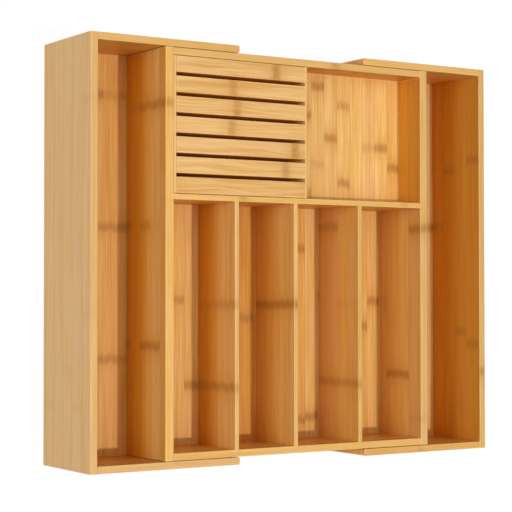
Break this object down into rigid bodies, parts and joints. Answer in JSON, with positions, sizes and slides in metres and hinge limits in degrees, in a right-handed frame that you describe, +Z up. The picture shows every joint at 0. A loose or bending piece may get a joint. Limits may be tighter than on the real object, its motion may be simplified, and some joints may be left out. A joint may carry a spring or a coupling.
{
  "type": "drawer organizer insert",
  "caption": "Expandable bamboo cutlery tray: a centre tray with long bays, a lift-out knife block and a handle bay, between wings that slide out to fit the drawer.",
  "frame": {"origin": "middle of the footprint, on the surface that the organizer stands on, with the wings at rest", "axes": "+X across the drawer to the right wing, +Y from the drawer's front to its back, +Z up out of the open top"},
  "size_m": [0.5, 0.43, 0.105],
  "materials": {
    "bamboo_board": "satin lacquered bamboo, grain along the board",
    "bamboo_floor": "satin lacquered bamboo, grain from front to back",
    "bamboo_divider": "satin lacquered bamboo, grain along the board",
    "bamboo_block": "satin lacquered bamboo, grain along the slats",
    "bamboo_strip": "bare bamboo strip"
  },
  "bodies": {
    "centre_tray": {"centre_side_wall_left": "bamboo_board", "centre_side_wall_right": "bamboo_board", "centre_end_wall_back": "bamboo_board", "centre_end_wall_front": "bamboo_board", "centre_floor": "bamboo_floor", "cross_divider": "bamboo_divider", "long_divider_1": "bamboo_divider", "long_divider_2": "bamboo_divider", "long_divider_3": "bamboo_divider", "raised_floor": "bamboo_floor", "floor_cleat_back": "bamboo_strip", "floor_cleat_front": "bamboo_strip", "floor_cleat_left": "bamboo_strip", "floor_cleat_right": "bamboo_strip"},
    "left_wing": {"left_wing_side_board": "bamboo_board", "left_wing_end_board_back": "bamboo_board", "left_wing_end_board_front": "bamboo_board", "left_wing_floor": "bamboo_floor", "left_wing_runner_back": "bamboo_strip", "left_wing_runner_front": "bamboo_strip"},
    "right_wing": {"right_wing_side_board": "bamboo_board", "right_wing_end_board_back": "bamboo_board", "right_wing_end_board_front": "bamboo_board", "right_wing_floor": "bamboo_floor", "right_wing_runner_back": "bamboo_strip", "right_wing_runner_front": "bamboo_strip"},
    "knife_block": {"knife_block_base": "bamboo_block", "knife_block_tip_strip": "bamboo_block", "knife_block_handle_strip": "bamboo_block", "knife_block_slat_1": "bamboo_block", "knife_block_slat_2": "bamboo_block", "knife_block_slat_3": "bamboo_block", "knife_block_slat_4": "bamboo_block", "knife_block_slat_5": "bamboo_block", "knife_block_slat_6": "bamboo_block", "knife_block_slat_7": "bamboo_block"}
  },
  "joints": [
    {"name": "left_wing_slide", "type": "slide", "parent": "centre_tray", "child": "left_wing", "axis": [-1, 0, 0], "range_m": [-0.075, 0.012]},
    {"name": "right_wing_slide", "type": "slide", "parent": "centre_tray", "child": "right_wing", "axis": [1, 0, 0], "range_m": [-0.075, 0.012]},
    {"name": "knife_block_lift", "type": "slide", "parent": "centre_tray", "child": "knife_block", "axis": [0, 0, 1], "range_m": [0, 0.08]}
  ]
}
